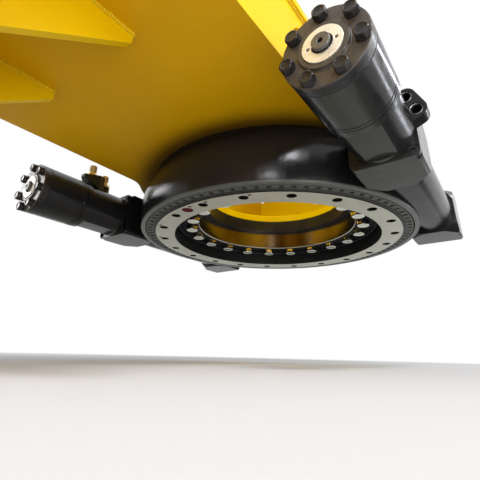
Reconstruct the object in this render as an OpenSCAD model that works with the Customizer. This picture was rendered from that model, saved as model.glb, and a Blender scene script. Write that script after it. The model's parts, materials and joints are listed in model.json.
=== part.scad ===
// Steering slewing drive under the end of a straddle carrier's carrying arm.
// X runs along the arm from its end flange to the slewing axis, Y to the left, Z up.
// The origin is the centre of the end flange's outer face. Millimetres.

/* [Arm] */
// From the end flange's outer face to the slewing axis
arm_length = 850; // [780:1:1000]
// Width of the arm's bottom and top plates
arm_w = 560; // [500:1:600]
// Clear height inside the box
arm_inner_h = 160; // [150:1:240]
// Thickness of the bottom plate
bottom_t = 16; // [12:1:20]
// Thickness of the top plate
top_t = 16; // [10:1:25]
// Thickness of the side webs and of the nose plate
web_t = 10; // [8:1:14]
// Ledge between the plates' edges and the webs' outer faces
web_inset = 8; // [4:1:14]
// How far the bottom plate's round end stands out past the nose plate
nose_ledge = 52; // [45:1:60]
// Radius of the round end of the bottom plate over the drive
plate_end_r = 392; // [385:1:400]
// Radius of the concave corners where the bottom plate widens
plate_fillet_r = 60; // [40:1:80]
// Height of the low band welded inside the webs
band_h = 62; // [50:1:75]
// Thickness of that band
band_t = 8; // [6:1:12]
// How far the bands run back from the slewing axis
band_back = 265; // [240:1:270]
// Radius of the band's small holes
band_hole_r = 5; // [3:0.5:8]
// From the band's upper edge down to its holes
band_hole_drop = 13; // [10:0.5:20]
// From the slewing axis out to the last hole in a side band
band_hole_x = 136; // [120:1:150]
// Spacing of the holes along the bands
band_hole_pitch = 180; // [150:1:190]
// Radius of the hose hole in each web
hose_hole_r = 55; // [40:1:60]
// From the slewing axis back to the hose hole's centre
hose_hole_back = 335; // [335:1:360]
// Radius of the top plate's free corners
top_corner_r = 15; // [5:1:20]
// Radius of the corner notches in the nose plate
notch_r = 30; // [20:1:35]

/* [End flange] */
// Width of the end flange
flange_w = 720; // [700:1:800]
// Height of the end flange
flange_h = 400; // [390:1:440]
// Thickness of the end flange
flange_t = 25; // [20:1:35]
// How far the flange reaches below the bottom plate
flange_drop = 165; // [120:1:170]
// Radius of the flange's bolt holes
flange_hole_r = 13; // [9:0.5:15]
// Half the distance between the two columns of holes
flange_hole_y = 320; // [315:1:325]
// Height of the outer rows of holes above and below the middle
flange_hole_z = 150; // [130:1:165]
// Height of the inner rows of holes above and below the middle
flange_hole_z2 = 50; // [40:1:70]
// Half the distance between the two gussets
gusset_y = 112; // [80:1:160]
// Thickness of a gusset
gusset_t = 15; // [10:1:20]
// Length of a gusset along the arm
gusset_l = 215; // [160:1:240]
// Height of a gusset's blunt toe
gusset_toe = 16; // [10:1:25]
// Length of a gusset's lower end on the flange
gusset_foot = 12; // [8:1:20]
// From the flange's lower edge up to a gusset
gusset_lift = 5; // [3:0.5:10]

/* [Slewing ring] */
// Radius of the bolt circle in the output face
output_bolt_r = 310; // [300:1:315]
// Holes in the output face
output_holes = 20; // [12:1:24]
// Radius of an output bolt hole
output_hole_r = 10.75; // [8:0.25:12]
// Depth of an output bolt hole
output_hole_depth = 45; // [30:1:60]
// Face width inside the bolt circle
face_in_w = 31; // [28:1:36]
// Face width outside the bolt circle
face_out_w = 19; // [17:1:24]
// Width of the seal round the face
rim_seal_w = 7; // [5:0.5:9]
// Radial width of the toothed rim
tooth_w = 17; // [16:0.5:20]
// Radial length of the spaces between the teeth
tooth_l = 10.5; // [8:0.5:11]
// Narrow land between the seal and the tooth spaces
tooth_land = 2.5; // [2:0.5:3]
// How deep the tooth spaces are cut in from below
tooth_depth = 14; // [8:0.5:20]
// Teeth on the rim
teeth = 90; // [72:1:96]
// Tilt of the teeth against the slewing axis
tooth_tilt = 5; // [0:0.5:8]
// Share of the pitch that is open between two teeth
tooth_open = 0.38; // [0.2:0.01:0.45]
// Radial gap between the teeth and the housing
rim_gap = 2.5; // [2:0.5:5]
// Width of the inner bearing ring
inner_ring_w = 54.6; // [50:0.1:60]
// Gap between the two bearing rings
race_gap = 0.4; // [0.3:0.05:0.6]
// Step from the bearing gap out to the face's inner edge
face_step = 9; // [8:0.5:11]
// Height of that step above the inner ring's lower face
face_step_z = 3; // [2:0.5:5]
// Height of the outer seal's section
seal_h = 4; // [3:0.5:4]
// Height of the inner seal's section
inner_seal_h = 6; // [4:0.5:8]
// Width of the inner seal outside the inner ring
inner_seal_w = 4.5; // [4:0.5:7]
// How far the inner seal laps under the inner ring
inner_seal_lap = 1; // [0.5:0.5:2]
// How far the outer seal stands below the toothed rim
seal_proud = 2; // [1:0.5:3]
// Height of the inner bearing ring's lower face above the output face
inner_ring_z = 40; // [36:1:44]
// Height of the inner bearing ring
inner_ring_h = 55; // [50:1:60]
// Bevel round the bore's lower edge
bore_bevel = 2; // [1:0.5:3]
// Gap above the output ring
ring_top_gap = 5; // [4:0.5:8]
// Turn of the output ring from the arm's direction
ring_turn = 0.65; // [0:0.05:4]
// Bolt pitches from the first hole to the ball plug
plug_pitches = 9.5; // [0.5:1:19.5]
// Radius of the ball plug
plug_r = 13; // [10:0.5:14]
// How far the ball plug lies behind the face
plug_sink = 1; // [0.5:0.5:3]

/* [Inner bolts] */
// From the bore to the inner bolt circle
inner_bolt_inset = 21; // [19:0.5:23]
// Inner bolts
inner_bolts = 20; // [12:1:24]
// Radius of an inner bolt's shank
inner_bolt_r = 10; // [8:0.5:12]
// Across flats of an inner bolt's head
inner_bolt_flats = 30; // [24:1:32]
// Height of an inner bolt's head
inner_bolt_head = 12.5; // [10:0.5:15]
// Height of the sleeve under the head
sleeve_h = 2; // [1.5:0.5:6]
// Radius of the sleeve
sleeve_r = 13.5; // [13:0.5:15]
// Angle of the first inner bolt from the arm's direction
inner_bolt_phase = 0.5; // [0:0.5:18]

/* [Housing] */
// Height of the housing's rim above the output face
rim_z = 4; // [3:0.5:8]
// Height of the housing's top above the output face
housing_top = 129; // [124:1:140]
// Width of the housing's lower rim
rim_w = 11.5; // [10:0.5:14]
// How far the wall bulges past the rim
wall_bulge = 5; // [4:0.5:7]
// Radius of the wall's curve seen from the side
wall_curve_r = 153; // [145:1:170]
// Height of the widest part above the output face
wall_mid_z = 45; // [42:1:50]
// How far the housing's bore stands inside the bearing's bore
housing_lip = 20; // [16:0.5:24]
// From the tooth tips out to the worm axis
worm_out = 18.9; // [17:0.1:20]
// Height of the worm axes above the output face
worm_z = 62; // [62:0.5:64]
// Radius of a worm tube
worm_tube_r = 52; // [48:1:56]
// Half the width of the square end blocks
block_half = 58; // [56:0.5:58]
// From the slewing axis to a block's outer end
block_reach = 258; // [250:1:266]
// Length of an end block
block_l = 98; // [90:1:104]
// Bevel along the blocks' lower edges
block_bevel = 5; // [3:0.5:8]
// Length of a block's coned end towards the tube
block_cone_l = 38; // [30:1:46]
// Radius at which that cone starts
block_cone_r = 63; // [60:0.5:68]
// Thickness of the covers on the blocks' far ends
cover_t = 12; // [8:0.5:16]
// Height of the pad between housing and bottom plate
pad_h = 16; // [12:1:24]
// Ledge from the housing's bore out to the pad
pad_inset = 8; // [5:0.5:12]
// From the housing's top edge in to the pad's rim
pad_edge = 2; // [1:0.5:5]
// How far the pad stands up inside the bottom plate
pad_lip_h = 8; // [5:0.5:10]
// Width of that lip
pad_lip_w = 18; // [12:1:20]
// Clearance round parts that are set into each other
fit_gap = 0.3; // [0.2:0.05:0.5]

/* [Motors] */
// Radius of the motor
motor_r = 60; // [56:0.5:62]
// Thickness of the motor's mounting flange
motor_flange_t = 14; // [10:0.5:18]
// Length of the cast body
motor_body_l = 121; // [118:1:140]
// Radius of the cast body
motor_body_r = 56; // [52:0.5:57]
// Length of the full-size rim at the cast body's rear end
body_rim_l = 14; // [8:0.5:18]
// From the axis down to the milled flat under the cast body
body_flat = 50; // [46:0.5:53]
// How far that flat stays clear of the body's rear end
body_flat_rear = 17; // [15:0.5:22]
// How far it stays clear of the flange
body_flat_front = 11; // [8:0.5:22]
// Thickness of the plate behind the cast body
motor_plate_t = 9; // [6:0.5:12]
// Depth of the grooves on both sides of that plate
plate_groove = 2; // [1:0.5:3]
// Width of those grooves
plate_groove_w = 1.5; // [1:0.5:2.5]
// Length of the gear section
motor_gear_l = 85; // [60:1:120]
// Thickness of the end cap
motor_cap_t = 19; // [12:0.5:22]
// Bolt circle radius of the end cap
cap_bolt_r = 50; // [48:0.5:51]
// Bolts in the end cap
cap_bolts = 7; // [5:1:8]
// Across flats of a cap bolt's head
cap_bolt_flats = 18; // [13:0.5:19]
// Height of a cap bolt's head with its washer
cap_bolt_head = 11; // [7:0.5:14]
// Thickness of the washer face under a cap bolt's head
cap_washer_t = 2.5; // [1:0.5:3]
// Radius of the raised ring on the end cap
cap_ring_r = 35; // [32:0.5:37]
// Height of the raised ring
cap_ring_h = 4; // [2:0.5:6]
// Radius of the retaining disc
disc_r = 27.5; // [24:0.5:30]
// Height of the retaining disc over the raised ring
disc_h = 1.5; // [1:0.5:3]
// How deep the retaining disc is let into the ring
disc_sink = 3; // [2:0.5:3.5]
// From the axis to the disc's two spanner holes
disc_hole_y = 19; // [18.5:0.5:20]
// Radius of a spanner hole
disc_hole_r = 2.5; // [1.5:0.25:3]
// Radius of the rear shaft end
shaft_r = 12.4; // [10:0.1:13]
// How far the rear shaft end stands out of the disc
shaft_out = 6; // [3:0.5:12]
// Radial gap round the rear shaft end
shaft_gap = 2; // [1:0.25:2.5]
// Radius of the centre hole in the shaft end
centre_hole_r = 3.5; // [2:0.25:5]
// Depth of that centre hole
centre_hole_depth = 8; // [5:0.5:12]
// Half the spacing of the mounting flange's screws
flange_screw_half = 47; // [45:0.5:48]
// Radius of a flange screw's head
flange_screw_r = 9; // [7:0.5:9]
// Height of a flange screw's head
flange_screw_head = 7; // [5:0.5:8]
// How far a flange screw's head lies behind the flange's face
flange_screw_sink = 1; // [0.5:0.5:2]
// Radius of the mounting flange's corners
flange_corner_r = 12; // [6:0.5:15]
// Across flats of a flange screw's socket
socket_flats = 10; // [6:1:12]
// Depth of that socket
socket_depth = 3; // [2:0.5:4]
// From the cast body's rear end to the port block on top of it
port_block_gap = 5; // [2:0.5:12]
// Length of the port block
port_block_l = 52; // [48:1:56]
// Width of the port block where it is widest
port_block_w = 62; // [54:1:70]
// From the block's rear end to its widest place
port_block_wide_x = 34; // [30:1:38]
// Width of the block at its rear end
port_block_rear_w = 16; // [10:1:24]
// Width of the block at its front end
port_block_front_w = 50; // [40:1:54]
// Height of the port block's top above the motor's axis
port_block_top = 88; // [84:1:92]
// Height of the block's rear end
port_block_rear_h = 8; // [4:0.5:12]
// Length of the block's slanted underside
port_block_slant_l = 38; // [30:1:42]
// Height above the axis at which that slant ends inside the body
port_block_slant_z = 46; // [42:1:50]
// From the block's rear end to its hose port
hose_port_x = 26; // [24:0.5:28]
// Depth of that hose port
hose_port_depth = 16; // [12:0.5:17]
// Radius of both hose ports
hose_port_r = 10.5; // [8:0.5:11]
// From the motor's flange back to the round boss of the second hose port
hose_boss_x = 50; // [46:1:54]
// Radius of that boss
hose_boss_r = 16; // [14:0.5:17]
// Height of that boss above the motor's axis
hose_boss_top = 72; // [70:0.5:76]
// Depth of the port in that boss
boss_port_depth = 12; // [10:0.5:13]
// Thickness of the boss with the two rear ports
port_boss_t = 26; // [18:1:34]
// Radius of a rear port
rear_port_r = 7.5; // [6:0.5:8]
// Depth of a rear port
rear_port_depth = 22; // [15:1:24]
// Radius of the spot face round a rear port
spot_r = 11; // [10:0.5:12]
// Depth of that spot face
spot_depth = 2; // [1:0.5:3]
// Wall round that spot face
port_wall = 5; // [4:0.5:7]

/* [Hidden] */
// How far cutting shapes run past the faces that they cut
cut = 1;

// Slewing ring, from the inside out
face_in_r = output_bolt_r - face_in_w;
face_out_r = output_bolt_r + face_out_w;
race_out_r = face_in_r - face_step;
inner_ring_r = race_out_r - race_gap;
bore_r = inner_ring_r - inner_ring_w;
inner_bolt_circle = bore_r + inner_bolt_inset;
seal_out_r = face_out_r + rim_seal_w;
tooth_in_r = seal_out_r + tooth_land;
tip_r = seal_out_r + tooth_w;
mouth_r = tip_r + rim_gap;
rim_out_r = mouth_r + rim_w;
wall_max_r = rim_out_r + wall_bulge;
housing_bore_r = bore_r - housing_lip;
tooth_pitch = 2 * PI * tip_r / teeth;

// Heights above the output face
cover_z = inner_ring_z + inner_ring_h;
ring_top = cover_z - ring_top_gap;
bottom_z = housing_top + pad_h;
bottom_top = bottom_z + bottom_t;
top_z = bottom_top + arm_inner_h;

// The output face's height in the arm's own frame
face_z = -flange_h / 2 + flange_drop - bottom_z;
worm_y = tip_r + worm_out;

// Pad and holes of the arm
pad_in_r = housing_bore_r + pad_inset;
top_r = wall_max_r - wall_curve_r + sqrt(pow(wall_curve_r, 2) - pow(housing_top - wall_mid_z, 2));
pad_out_r = top_r - pad_edge;
plate_hole_r = pad_in_r + pad_lip_w;
web_y = arm_w / 2 - web_inset - web_t;
nose_x = plate_end_r - nose_ledge - web_t;
band_hole_z = bottom_top + band_h - band_hole_drop;
hose_hole_z = bottom_top + arm_inner_h / 2;

// Stations of the motor along the worm's axis, from the slewing axis
flange_x0 = -block_reach - motor_flange_t;
screw_seat_x = flange_x0 + flange_screw_sink + flange_screw_head;
body_x0 = flange_x0 - motor_body_l;
plate_x0 = body_x0 - motor_plate_t;
gear_x0 = plate_x0 - motor_gear_l;
cap_x0 = gear_x0 - motor_cap_t;
ring_x0 = cap_x0 - cap_ring_h;
disc_x0 = ring_x0 - disc_h;
shaft_x0 = disc_x0 - shaft_out;

// Ports of the rear boss as [across, up] from the motor's axis
rear_ports = [[65, 10], [52, 38]];
port_block_x0 = body_x0 + port_block_gap;
hose_boss_x0 = flange_x0 - hose_boss_x;

SIDES = [["left", 1], ["right", -1]];

$fn = 96;

// Puts a shape at the slewing axis, with the output face at z = 0
module at_drive() {
    translate([arm_length, 0, face_z]) children();
}

// Puts a shape on the worm axis of one side, with +Y pointing away from the arm
module at_worm(side) {
    at_drive()
        mirror([0, side < 0 ? 1 : 0, 0])
            translate([0, worm_y, worm_z])
                children();
}

// Copies a shape round the slewing axis
module around(count, phase = 0) {
    for (i = [0 : count - 1])
        rotate([0, 0, phase + 360 * i / count])
            children();
}

// A ring standing on z0
module ring(r_in, r_out, z0, z1) {
    translate([0, 0, z0])
        difference() {
            cylinder(h = z1 - z0, r = r_out);
            translate([0, 0, -cut])
                cylinder(h = z1 - z0 + 2 * cut, r = r_in);
        }
}

// A round bar along X from x0 to x1
module bar_x(x0, x1, r) {
    translate([x0, 0, 0])
        rotate([0, 90, 0])
            cylinder(h = x1 - x0, r = r);
}

// A hexagon's corner radius from its width across flats
function hex_r(flats) = flats / 2 / cos(30);

// Outline of the bottom plate: straight sides, concave corners and a round end
module bottom_outline() {
    corner_y = arm_w / 2 + plate_fillet_r;
    corner_x = -sqrt(pow(plate_end_r + plate_fillet_r, 2) - pow(corner_y, 2));
    touch = plate_end_r / (plate_end_r + plate_fillet_r);
    difference() {
        union() {
            translate([-arm_length + flange_t, -arm_w / 2])
                square([arm_length - flange_t, arm_w]);
            polygon([
                [corner_x, -arm_w / 2], [touch * corner_x, -touch * corner_y],
                [touch * corner_x, touch * corner_y], [corner_x, arm_w / 2]
            ]);
            circle(r = plate_end_r);
        }
        for (s = [-1, 1])
            translate([corner_x, s * corner_y])
                circle(r = plate_fillet_r);
    }
}

// Clearance holes for the inner bolts from z0 to z1
module inner_bolt_holes(z0, z1) {
    around(inner_bolts, inner_bolt_phase)
        translate([inner_bolt_circle, 0, z0 - cut])
            cylinder(h = z1 - z0 + 2 * cut, r = inner_bolt_r + fit_gap);
}

module arm_bottom_plate() {
    color("gold")
        at_drive()
            difference() {
                translate([0, 0, bottom_z])
                    linear_extrude(bottom_t)
                        bottom_outline();
                translate([0, 0, bottom_z - cut])
                    cylinder(h = bottom_t + 2 * cut, r = plate_hole_r + fit_gap);
                inner_bolt_holes(bottom_z, bottom_top);
            }
}

module arm_pad_ring() {
    color("gold")
        at_drive()
            difference() {
                union() {
                    ring(pad_in_r, pad_out_r, housing_top, bottom_z);
                    ring(pad_in_r, plate_hole_r, housing_top, bottom_z + pad_lip_h);
                }
                inner_bolt_holes(housing_top, bottom_z);
            }
}

module arm_top_plate() {
    end_x = nose_x + web_t + web_inset;
    color("gold")
        at_drive()
            translate([0, 0, top_z])
                linear_extrude(top_t) {
                    translate([-arm_length + flange_t, -arm_w / 2])
                        square([arm_length - flange_t + end_x - top_corner_r, arm_w]);
                    translate([end_x - 2 * top_corner_r, -arm_w / 2 + top_corner_r])
                        square([2 * top_corner_r, arm_w - 2 * top_corner_r]);
                    for (s = [-1, 1])
                        translate([end_x - top_corner_r, s * (arm_w / 2 - top_corner_r)])
                            circle(r = top_corner_r);
                }
}

// A side web with its hose hole
module web() {
    at_drive()
        difference() {
            translate([-arm_length + flange_t, web_y, bottom_top])
                cube([arm_length - flange_t + nose_x, web_t, arm_inner_h]);
            translate([-hose_hole_back, web_y - cut, hose_hole_z])
                rotate([-90, 0, 0])
                    cylinder(h = web_t + 2 * cut, r = hose_hole_r);
        }
}

module arm_web_left() {
    color("gold") web();
}

module arm_web_right() {
    color("gold") mirror([0, 1, 0]) web();
}

// The nose plate closes the box beyond the drive, with a notch at each upper corner
module arm_nose_plate() {
    color("gold")
        at_drive()
            difference() {
                translate([nose_x, -web_y - web_t, bottom_top])
                    cube([web_t, 2 * (web_y + web_t), arm_inner_h]);
                for (s = [-1, 1])
                    translate([nose_x - cut, s * web_y, top_z])
                        rotate([0, 90, 0])
                            cylinder(h = web_t + 2 * cut, r = notch_r);
            }
}

// A low band along a web, with small holes near its upper edge
module web_band() {
    at_drive()
        difference() {
            translate([-band_back, web_y - band_t, bottom_top])
                cube([band_back + nose_x, band_t, band_h]);
            for (i = [0, 1])
                translate([band_hole_x - i * band_hole_pitch, web_y - band_t - cut, band_hole_z])
                    rotate([-90, 0, 0])
                        cylinder(h = band_t + 2 * cut, r = band_hole_r);
        }
}

module arm_band_left() {
    color("goldenrod") web_band();
}

module arm_band_right() {
    color("goldenrod") mirror([0, 1, 0]) web_band();
}

module arm_band_nose() {
    color("goldenrod")
        at_drive()
            difference() {
                translate([nose_x - band_t, -web_y + band_t, bottom_top])
                    cube([band_t, 2 * (web_y - band_t), band_h]);
                for (s = [-1, 1])
                    translate([nose_x - band_t - cut, s * band_hole_pitch / 2, band_hole_z])
                        rotate([0, 90, 0])
                            cylinder(h = band_t + 2 * cut, r = band_hole_r);
            }
}

module arm_end_flange() {
    color("gold")
        difference() {
            translate([0, -flange_w / 2, -flange_h / 2])
                cube([flange_t, flange_w, flange_h]);
            for (y = [-flange_hole_y, flange_hole_y])
                for (z = [-flange_hole_z, -flange_hole_z2, flange_hole_z2, flange_hole_z])
                    translate([-cut, y, z])
                        rotate([0, 90, 0])
                            cylinder(h = flange_t + 2 * cut, r = flange_hole_r);
        }
}

// A gusset under the bottom plate: blunt toe, slanted lower edge
module gusset() {
    z0 = -flange_h / 2;
    z1 = z0 + flange_drop;
    translate([0, gusset_y + gusset_t / 2, 0])
        rotate([90, 0, 0])
            linear_extrude(gusset_t)
                polygon([
                    [flange_t, z0 + gusset_lift],
                    [flange_t + gusset_foot, z0 + gusset_lift],
                    [flange_t + gusset_l, z1 - gusset_toe],
                    [flange_t + gusset_l, z1],
                    [flange_t, z1]
                ]);
}

module gusset_left() {
    color("gold") gusset();
}

module gusset_right() {
    color("gold") mirror([0, 1, 0]) gusset();
}

// Outside of the round pan, with its convex wall
module pan() {
    rotate_extrude()
        intersection() {
            translate([housing_bore_r, rim_z])
                square([wall_max_r, housing_top - rim_z]);
            union() {
                translate([wall_max_r - wall_curve_r, wall_mid_z])
                    circle(r = wall_curve_r);
                square([wall_max_r - wall_curve_r, housing_top]);
            }
        }
}

// A square end block of a worm housing, bevelled along its lower edges and coned towards the tube
module end_block() {
    low = rim_z - worm_z;
    translate([block_reach - block_l, 0, 0])
        intersection() {
            rotate([90, 0, 90])
                linear_extrude(block_l)
                    polygon([
                        [-block_half, low + block_bevel],
                        [-block_half + block_bevel, low],
                        [block_half - block_bevel, low],
                        [block_half, low + block_bevel],
                        [block_half, block_half],
                        [-block_half, block_half]
                    ]);
            rotate([0, 90, 0]) {
                cylinder(h = block_cone_l, r1 = block_cone_r, r2 = sqrt(2) * block_half);
                translate([0, 0, block_cone_l])
                    cylinder(h = block_l - block_cone_l, r = 2 * block_half);
            }
        }
}

// One worm housing: a tube between two end blocks
module worm_case() {
    bar_x(-block_reach + block_l / 2, block_reach - block_l / 2, worm_tube_r);
    end_block();
    mirror([1, 0, 0]) end_block();
}

module slew_housing() {
    color("dimgray")
        difference() {
            union() {
                at_drive() pan();
                for (s = SIDES)
                    at_worm(s[1]) worm_case();
            }
            at_drive() {
                translate([0, 0, -cut])
                    cylinder(h = cover_z + cut, r = mouth_r);
                translate([0, 0, cover_z - cut])
                    cylinder(h = housing_top - cover_z + 2 * cut, r = housing_bore_r);
                inner_bolt_holes(cover_z, housing_top);
            }
        }
}

module inner_ring() {
    color("rosybrown")
        at_drive()
            difference() {
                ring(bore_r, inner_ring_r, inner_ring_z, cover_z);
                translate([0, 0, inner_ring_z - cut])
                    cylinder(h = bore_bevel + cut, r1 = bore_r + bore_bevel + cut, r2 = bore_r);
                inner_bolt_holes(inner_ring_z, cover_z);
            }
}

module inner_bolts() {
    head_z = inner_ring_z - sleeve_h - inner_bolt_head;
    color("silver")
        at_drive()
            around(inner_bolts, inner_bolt_phase)
                translate([inner_bolt_circle, 0, head_z]) {
                    cylinder(h = inner_bolt_head, r = hex_r(inner_bolt_flats), $fn = 6);
                    cylinder(h = bottom_top - head_z, r = inner_bolt_r);
                }
}

module inner_bolt_sleeves() {
    color("darkgoldenrod")
        at_drive()
            around(inner_bolts, inner_bolt_phase)
                translate([inner_bolt_circle, 0, 0])
                    ring(inner_bolt_r + fit_gap, sleeve_r, inner_ring_z - sleeve_h, inner_ring_z);
}

// Seal between the two bearing rings, seen through the bore
module inner_seal() {
    color("black")
        at_drive()
            ring(inner_ring_r - inner_seal_lap, inner_ring_r + inner_seal_w,
                 inner_ring_z - inner_seal_h, inner_ring_z);
}

module worm_cover() {
    bar_x(block_reach, block_reach + cover_t, worm_tube_r);
}

module worm_cover_left() {
    color("dimgray") at_worm(1) worm_cover();
}

module worm_cover_right() {
    color("dimgray") at_worm(-1) worm_cover();
}

// Puts a shape at the plug through which the bearing balls are filled
module at_plug() {
    rotate([0, 0, ring_turn + 360 * plug_pitches / output_holes])
        translate([output_bolt_r, 0, 0])
            children();
}

// One space between two teeth, leaning as the teeth do and closed by a narrow lip outside
module tooth_space() {
    translate([tooth_in_r, 0, rim_z])
        rotate([tooth_tilt, 0, 0])
            translate([0, -tooth_pitch * tooth_open / 2, -tooth_depth])
                cube([tooth_l, tooth_pitch * tooth_open, 2 * tooth_depth]);
}

module output_ring() {
    color("lightgray")
        at_drive()
            difference() {
                union() {
                    ring(face_in_r, face_out_r, 0, ring_top);
                    ring(race_out_r, face_out_r, inner_ring_z + face_step_z, ring_top);
                    ring(face_in_r, tip_r, rim_z + seal_h, ring_top);
                    ring(seal_out_r, tip_r, rim_z, ring_top);
                }
                around(teeth, ring_turn) tooth_space();
                around(output_holes, ring_turn)
                    translate([output_bolt_r, 0, -cut])
                        cylinder(h = output_hole_depth + cut, r = output_hole_r);
                at_plug()
                    translate([0, 0, -cut])
                        cylinder(h = output_hole_depth + cut, r = plug_r + fit_gap);
            }
}

module rim_seal() {
    color("black")
        at_drive()
            ring(face_out_r + fit_gap, seal_out_r - fit_gap, rim_z - seal_proud, rim_z + seal_h);
}

module ball_plug() {
    color("firebrick")
        at_drive()
            at_plug()
                translate([0, 0, plug_sink])
                    cylinder(h = output_hole_depth - plug_sink, r = plug_r);
}

// Calls its children at the four screws of a motor's mounting flange
module at_flange_screws() {
    for (y = [-flange_screw_half, flange_screw_half])
        for (z = [-flange_screw_half, flange_screw_half])
            translate([0, y, z])
                children();
}

// A slab across X from z0 to z1, as wide as an end block, with rounded corners
module rounded_slab(x0, thick, z0, z1) {
    straight = block_half - flange_corner_r;
    translate([x0, -straight, z0])
        cube([thick, 2 * straight, z1 - z0]);
    translate([x0, -block_half, z0 + flange_corner_r])
        cube([thick, 2 * block_half, z1 - z0 - 2 * flange_corner_r]);
    for (y = [-straight, straight])
        for (z = [z0 + flange_corner_r, z1 - flange_corner_r])
            translate([0, y, z])
                bar_x(x0, x0 + thick, flange_corner_r);
}

module motor_flange(side) {
    color("dimgray")
        at_worm(side)
            difference() {
                rounded_slab(flange_x0, motor_flange_t, rim_z - worm_z, block_half);
                at_flange_screws()
                    bar_x(flange_x0 - cut, screw_seat_x, flange_screw_r + fit_gap);
            }
}

module motor_screws(side) {
    color("gray")
        at_worm(side)
            at_flange_screws()
                difference() {
                    bar_x(screw_seat_x - flange_screw_head, screw_seat_x, flange_screw_r);
                    translate([flange_x0, 0, 0])
                        rotate([0, 90, 0])
                            cylinder(h = flange_screw_sink + socket_depth, r = hex_r(socket_flats), $fn = 6);
                }
}

// Two circles at p and q and what lies between their outer tangents
module link(p, r_p, q, r_q) {
    along = q - p;
    turn = acos((r_p - r_q) / norm(along));
    dir = atan2(along.y, along.x);
    up = [cos(dir + turn), sin(dir + turn)];
    down = [cos(dir - turn), sin(dir - turn)];
    translate(p) circle(r = r_p);
    translate(q) circle(r = r_q);
    polygon([p + r_p * up, q + r_q * up, q + r_q * down, p + r_p * down]);
}

// Cast body with a milled flat below and the boss of the two rear ports
module motor_body(side) {
    boss_r = spot_r + port_wall;
    flat_l = motor_body_l - body_flat_rear - body_flat_front;
    color("dimgray")
        at_worm(side)
            difference() {
                union() {
                    bar_x(body_x0, flange_x0, motor_body_r);
                    bar_x(body_x0, body_x0 + body_rim_l, motor_r);
                    translate([flange_x0 - port_boss_t, 0, 0])
                        rotate([90, 0, 90])
                            linear_extrude(port_boss_t) {
                                link([0, 0], 2 * boss_r, rear_ports[0], boss_r);
                                link([0, 0], 2 * boss_r, rear_ports[1], boss_r);
                                link(rear_ports[0], boss_r, rear_ports[1], boss_r);
                            }
                }
                translate([body_x0 + body_flat_rear, -motor_body_r, -motor_body_r - cut])
                    cube([flat_l, 2 * motor_body_r, motor_body_r + cut - body_flat]);
                for (p = rear_ports)
                    translate([flange_x0 - port_boss_t, p[0], p[1]]) {
                        bar_x(-cut, rear_port_depth, rear_port_r);
                        bar_x(-cut, spot_depth, spot_r);
                    }
            }
}

module motor_plate(side) {
    color("gray")
        at_worm(side) {
            bar_x(plate_x0, body_x0, motor_r - plate_groove);
            bar_x(plate_x0 + plate_groove_w, body_x0 - plate_groove_w, motor_r);
        }
}

module motor_gears(side) {
    color("dimgray")
        at_worm(side)
            bar_x(gear_x0, plate_x0, motor_r);
}

module motor_cap(side) {
    color("dimgray")
        at_worm(side)
            difference() {
                union() {
                    bar_x(cap_x0, gear_x0, motor_r);
                    bar_x(ring_x0, gear_x0, cap_ring_r);
                }
                bar_x(ring_x0 - cut, gear_x0 + cut, shaft_r + shaft_gap);
                bar_x(ring_x0 - cut, ring_x0 + disc_sink, disc_r + fit_gap);
            }
}

module motor_cap_bolts(side) {
    color("gray")
        at_worm(side)
            for (i = [0 : cap_bolts - 1])
                rotate([90 + 360 * i / cap_bolts, 0, 0])
                    translate([0, cap_bolt_r, 0]) {
                        bar_x(cap_x0 - cap_washer_t, cap_x0, hex_r(cap_bolt_flats));
                        translate([cap_x0 - cap_bolt_head, 0, 0])
                            rotate([0, 90, 0])
                                cylinder(h = cap_bolt_head, r = hex_r(cap_bolt_flats), $fn = 6);
                    }
}

module motor_disc(side) {
    color("whitesmoke")
        at_worm(side)
            difference() {
                bar_x(disc_x0, ring_x0 + disc_sink, disc_r);
                bar_x(disc_x0 - cut, ring_x0 + disc_sink + cut, shaft_r + shaft_gap);
                for (y = [-disc_hole_y, disc_hole_y])
                    translate([0, y, 0])
                        bar_x(disc_x0 - cut, ring_x0 + disc_sink + cut, disc_hole_r);
            }
}

module motor_shaft(side) {
    color("gray")
        at_worm(side)
            difference() {
                bar_x(shaft_x0, gear_x0 - fit_gap, shaft_r);
                bar_x(shaft_x0 - cut, shaft_x0 + centre_hole_depth, centre_hole_r);
            }
}

// Block of the first hose port: slanted underneath, narrow at its rear end
module port_block() {
    rear = port_block_rear_w / 2;
    wide = port_block_w / 2;
    front = port_block_front_w / 2;
    translate([port_block_x0, 0, 0])
        intersection() {
            translate([0, wide, 0])
                rotate([90, 0, 0])
                    linear_extrude(port_block_w)
                        polygon([
                            [0, port_block_top - port_block_rear_h], [port_block_slant_l, port_block_slant_z],
                            [port_block_l, port_block_slant_z],
                            [port_block_l, port_block_top], [0, port_block_top]
                        ]);
            linear_extrude(2 * port_block_top)
                polygon([
                    [0, -rear], [port_block_wide_x, -wide], [port_block_l, -front],
                    [port_block_l, front], [port_block_wide_x, wide], [0, rear]
                ]);
        }
}

// The two hose ports on top of the motor, in a block and in a round boss
module motor_ports(side) {
    color("dimgray")
        at_worm(side)
            difference() {
                union() {
                    port_block();
                    translate([hose_boss_x0, 0, 0])
                        cylinder(h = hose_boss_top, r = hose_boss_r);
                }
                bar_x(body_x0 - cut, flange_x0, motor_body_r + fit_gap);
                bar_x(body_x0 - cut, body_x0 + body_rim_l + fit_gap, motor_r + fit_gap);
                translate([port_block_x0 + hose_port_x, 0, port_block_top - hose_port_depth])
                    cylinder(h = hose_port_depth + cut, r = hose_port_r);
                translate([hose_boss_x0, 0, hose_boss_top - boss_port_depth])
                    cylinder(h = boss_port_depth + cut, r = hose_port_r);
            }
}

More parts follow.
